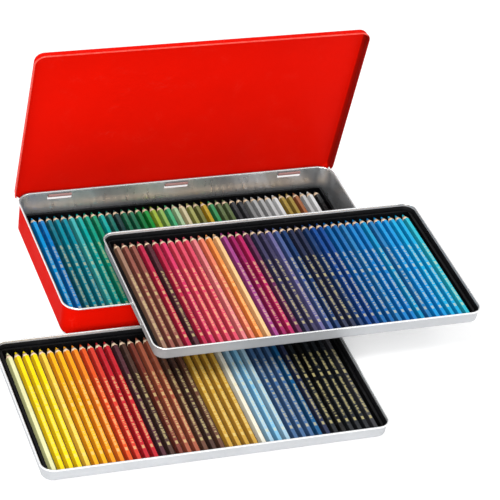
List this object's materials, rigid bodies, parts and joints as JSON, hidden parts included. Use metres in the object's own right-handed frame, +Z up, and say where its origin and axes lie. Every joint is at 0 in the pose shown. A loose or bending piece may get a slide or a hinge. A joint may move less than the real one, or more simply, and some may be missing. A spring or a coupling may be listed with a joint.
{
  "type": "pencil tin",
  "caption": "Flat hinged metal tin for coloured pencils, standing open, with its lift-out trays of pencils set out over and in front of it.",
  "frame": {"origin": "middle of the tin base's flat underside", "axes": "+X along the tin's length to the right, +Y from the front towards the hinge, +Z up"},
  "size_m": [0.4608, 0.394, 0.22],
  "materials": {
    "red_lacquer": "satin lacquer",
    "tinplate": "satin",
    "liner_black": "soft gloss",
    "base_paint_1": "gloss lacquer on wood, bare at the sharpened cone",
    "base_paint_2": "gloss lacquer on wood, bare at the sharpened cone",
    "base_paint_3": "gloss lacquer on wood, bare at the sharpened cone",
    "base_paint_4": "gloss lacquer on wood, bare at the sharpened cone",
    "base_paint_5": "gloss lacquer on wood, bare at the sharpened cone",
    "base_paint_6": "gloss lacquer on wood, bare at the sharpened cone",
    "base_paint_7": "gloss lacquer on wood, bare at the sharpened cone",
    "base_paint_8": "gloss lacquer on wood, bare at the sharpened cone",
    "base_lead_colours": "coloured wax lead",
    "middle_paint_1": "gloss lacquer on wood, bare at the sharpened cone",
    "middle_paint_2": "gloss lacquer on wood, bare at the sharpened cone",
    "middle_paint_3": "gloss lacquer on wood, bare at the sharpened cone",
    "middle_paint_4": "gloss lacquer on wood, bare at the sharpened cone",
    "middle_paint_5": "gloss lacquer on wood, bare at the sharpened cone",
    "middle_paint_6": "gloss lacquer on wood, bare at the sharpened cone",
    "middle_paint_7": "gloss lacquer on wood, bare at the sharpened cone",
    "middle_paint_8": "gloss lacquer on wood, bare at the sharpened cone",
    "middle_lead_colours": "coloured wax lead",
    "front_paint_1": "gloss lacquer on wood, bare at the sharpened cone",
    "front_paint_2": "gloss lacquer on wood, bare at the sharpened cone",
    "front_paint_3": "gloss lacquer on wood, bare at the sharpened cone",
    "front_paint_4": "gloss lacquer on wood, bare at the sharpened cone",
    "front_paint_5": "gloss lacquer on wood, bare at the sharpened cone",
    "front_paint_6": "gloss lacquer on wood, bare at the sharpened cone",
    "front_paint_7": "gloss lacquer on wood, bare at the sharpened cone",
    "front_paint_8": "gloss lacquer on wood, bare at the sharpened cone",
    "front_lead_colours": "coloured wax lead"
  },
  "bodies": {
    "tin": {"base_shell": "red_lacquer", "base_liner": "liner_black", "base_pencils_1": "base_paint_1", "base_pencils_2": "base_paint_2", "base_pencils_3": "base_paint_3", "base_pencils_4": "base_paint_4", "base_pencils_5": "base_paint_5", "base_pencils_6": "base_paint_6", "base_pencils_7": "base_paint_7", "base_pencils_8": "base_paint_8", "base_leads": "base_lead_colours"},
    "lid": {"lid_shell": "red_lacquer", "lid_tab_left": "red_lacquer", "lid_tab_centre": "red_lacquer", "lid_tab_right": "red_lacquer"},
    "middle_tray": {"middle_tray_shell": "tinplate", "middle_tray_liner": "liner_black", "middle_pencils_1": "middle_paint_1", "middle_pencils_2": "middle_paint_2", "middle_pencils_3": "middle_paint_3", "middle_pencils_4": "middle_paint_4", "middle_pencils_5": "middle_paint_5", "middle_pencils_6": "middle_paint_6", "middle_pencils_7": "middle_paint_7", "middle_pencils_8": "middle_paint_8", "middle_leads": "middle_lead_colours"},
    "front_tray": {"front_tray_shell": "tinplate", "front_tray_liner": "liner_black", "front_pencils_1": "front_paint_1", "front_pencils_2": "front_paint_2", "front_pencils_3": "front_paint_3", "front_pencils_4": "front_paint_4", "front_pencils_5": "front_paint_5", "front_pencils_6": "front_paint_6", "front_pencils_7": "front_paint_7", "front_pencils_8": "front_paint_8", "front_leads": "front_lead_colours"}
  },
  "joints": [
    {"name": "lid_hinge", "type": "hinge", "parent": "tin", "child": "lid", "pos_m": [0, 0.09565, 0.03], "axis": [-1, 0, 0], "range_deg": [-64, 20]},
    {"name": "middle_tray_lift", "type": "slide", "parent": "tin", "child": "middle_tray", "axis": [0, 0, 1], "range_m": [0, 0.12]},
    {"name": "front_tray_slide", "type": "slide", "parent": "tin", "child": "front_tray", "axis": [0, -1, 0], "range_m": [0, 0.12]}
  ]
}
